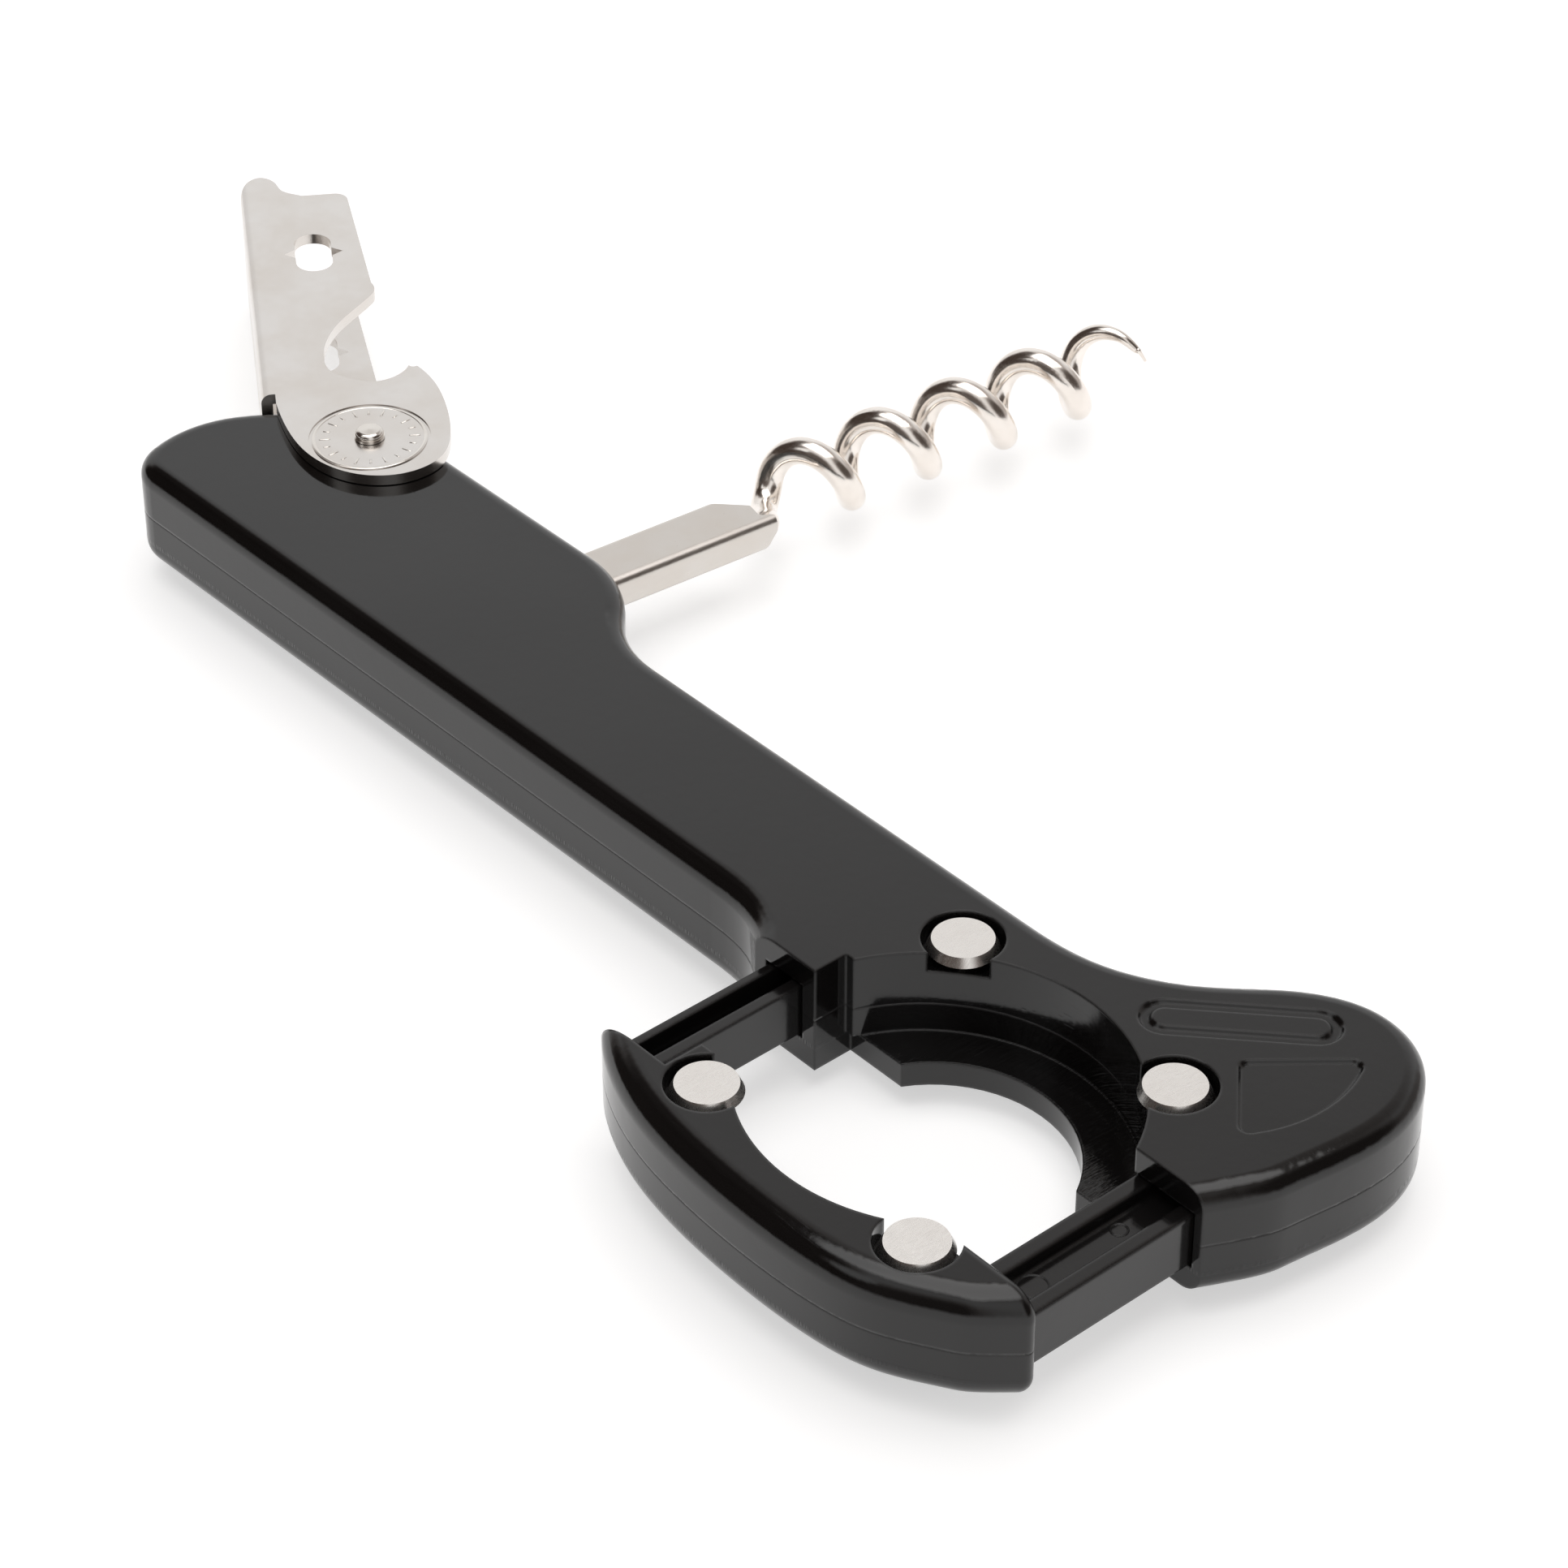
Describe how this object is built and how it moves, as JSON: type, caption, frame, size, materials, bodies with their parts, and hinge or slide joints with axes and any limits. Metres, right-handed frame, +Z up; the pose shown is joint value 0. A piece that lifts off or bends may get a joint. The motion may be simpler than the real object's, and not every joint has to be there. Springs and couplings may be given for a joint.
{
  "type": "waiters corkscrew",
  "caption": "Folding corkscrew with a flat moulded handle, sliding wheel foil cutter, nickel bottle-rim lever and a coiled worm.",
  "frame": {"origin": "centre of the bounding box in plan, at the level of the lower rivet head, tool lying on its side", "axes": "+X along the handle towards the foil cutter head, +Y towards the side the worm opens on, +Z up through the handle's thickness"},
  "size_m": [0.179, 0.1158, 0.0151],
  "materials": {
    "handle_plastic": "polished moulded black",
    "rail_plastic": "moulded black",
    "lever_nickel": "nickel plated sheet",
    "rivet_nickel": "nickel plated",
    "shank_nickel": "nickel plated sheet, satin",
    "worm_nickel": "nickel plated wire",
    "wheel_steel": "ground and finely scratched"
  },
  "bodies": {
    "handle": {"handle_upper": "handle_plastic", "handle_lower": "handle_plastic", "lever_rivet": "rivet_nickel", "washer_top": "rivet_nickel", "washer_bottom": "rivet_nickel", "worm_pin": "rivet_nickel"},
    "lever": {"lever": "lever_nickel"},
    "worm": {"worm_shank": "shank_nickel", "worm_wire": "worm_nickel"},
    "jaw": {"jaw_upper": "handle_plastic", "jaw_lower": "handle_plastic", "rail_left": "rail_plastic", "rail_right": "rail_plastic"},
    "foil_cutter_1": {"foil_wheel_1": "wheel_steel", "wheel_stem_1": "wheel_steel"},
    "foil_cutter_2": {"foil_wheel_2": "wheel_steel", "wheel_stem_2": "wheel_steel"},
    "foil_cutter_3": {"foil_wheel_3": "wheel_steel", "wheel_stem_3": "wheel_steel"},
    "foil_cutter_4": {"foil_wheel_4": "wheel_steel", "wheel_stem_4": "wheel_steel"}
  },
  "joints": [
    {"name": "lever_pivot", "type": "hinge", "parent": "handle", "child": "lever", "pos_m": [-0.0425, -0.01424, 0.00755], "axis": [0, 0, 1], "range_deg": [-146.8, 0]},
    {"name": "worm_pivot", "type": "hinge", "parent": "handle", "child": "worm", "pos_m": [-0.01746, -0.01274, 0.00755], "axis": [0, 0, 1], "range_deg": [-84.4, 0.1]},
    {"name": "jaw_slide", "type": "slide", "parent": "handle", "child": "jaw", "axis": [0, 1, 0], "range_m": [0, 0.0163]},
    {"name": "foil_wheel_1_spin", "type": "hinge", "parent": "handle", "child": "foil_cutter_1", "pos_m": [0.0496, -0.02254, 0.0122], "axis": [0, 0, 1], "continuous": true},
    {"name": "foil_wheel_2_spin", "type": "hinge", "parent": "handle", "child": "foil_cutter_2", "pos_m": [0.0746, -0.02254, 0.0122], "axis": [0, 0, 1], "continuous": true},
    {"name": "foil_wheel_3_spin", "type": "hinge", "parent": "jaw", "child": "foil_cutter_3", "pos_m": [0.0496, -0.05064, 0.0122], "axis": [0, 0, 1], "continuous": true},
    {"name": "foil_wheel_4_spin", "type": "hinge", "parent": "jaw", "child": "foil_cutter_4", "pos_m": [0.0746, -0.05064, 0.0122], "axis": [0, 0, 1], "continuous": true}
  ],
  "couplings": [
    {"joint": "worm_pivot", "follows": "lever_pivot", "ratio": 0.5743}
  ]
}
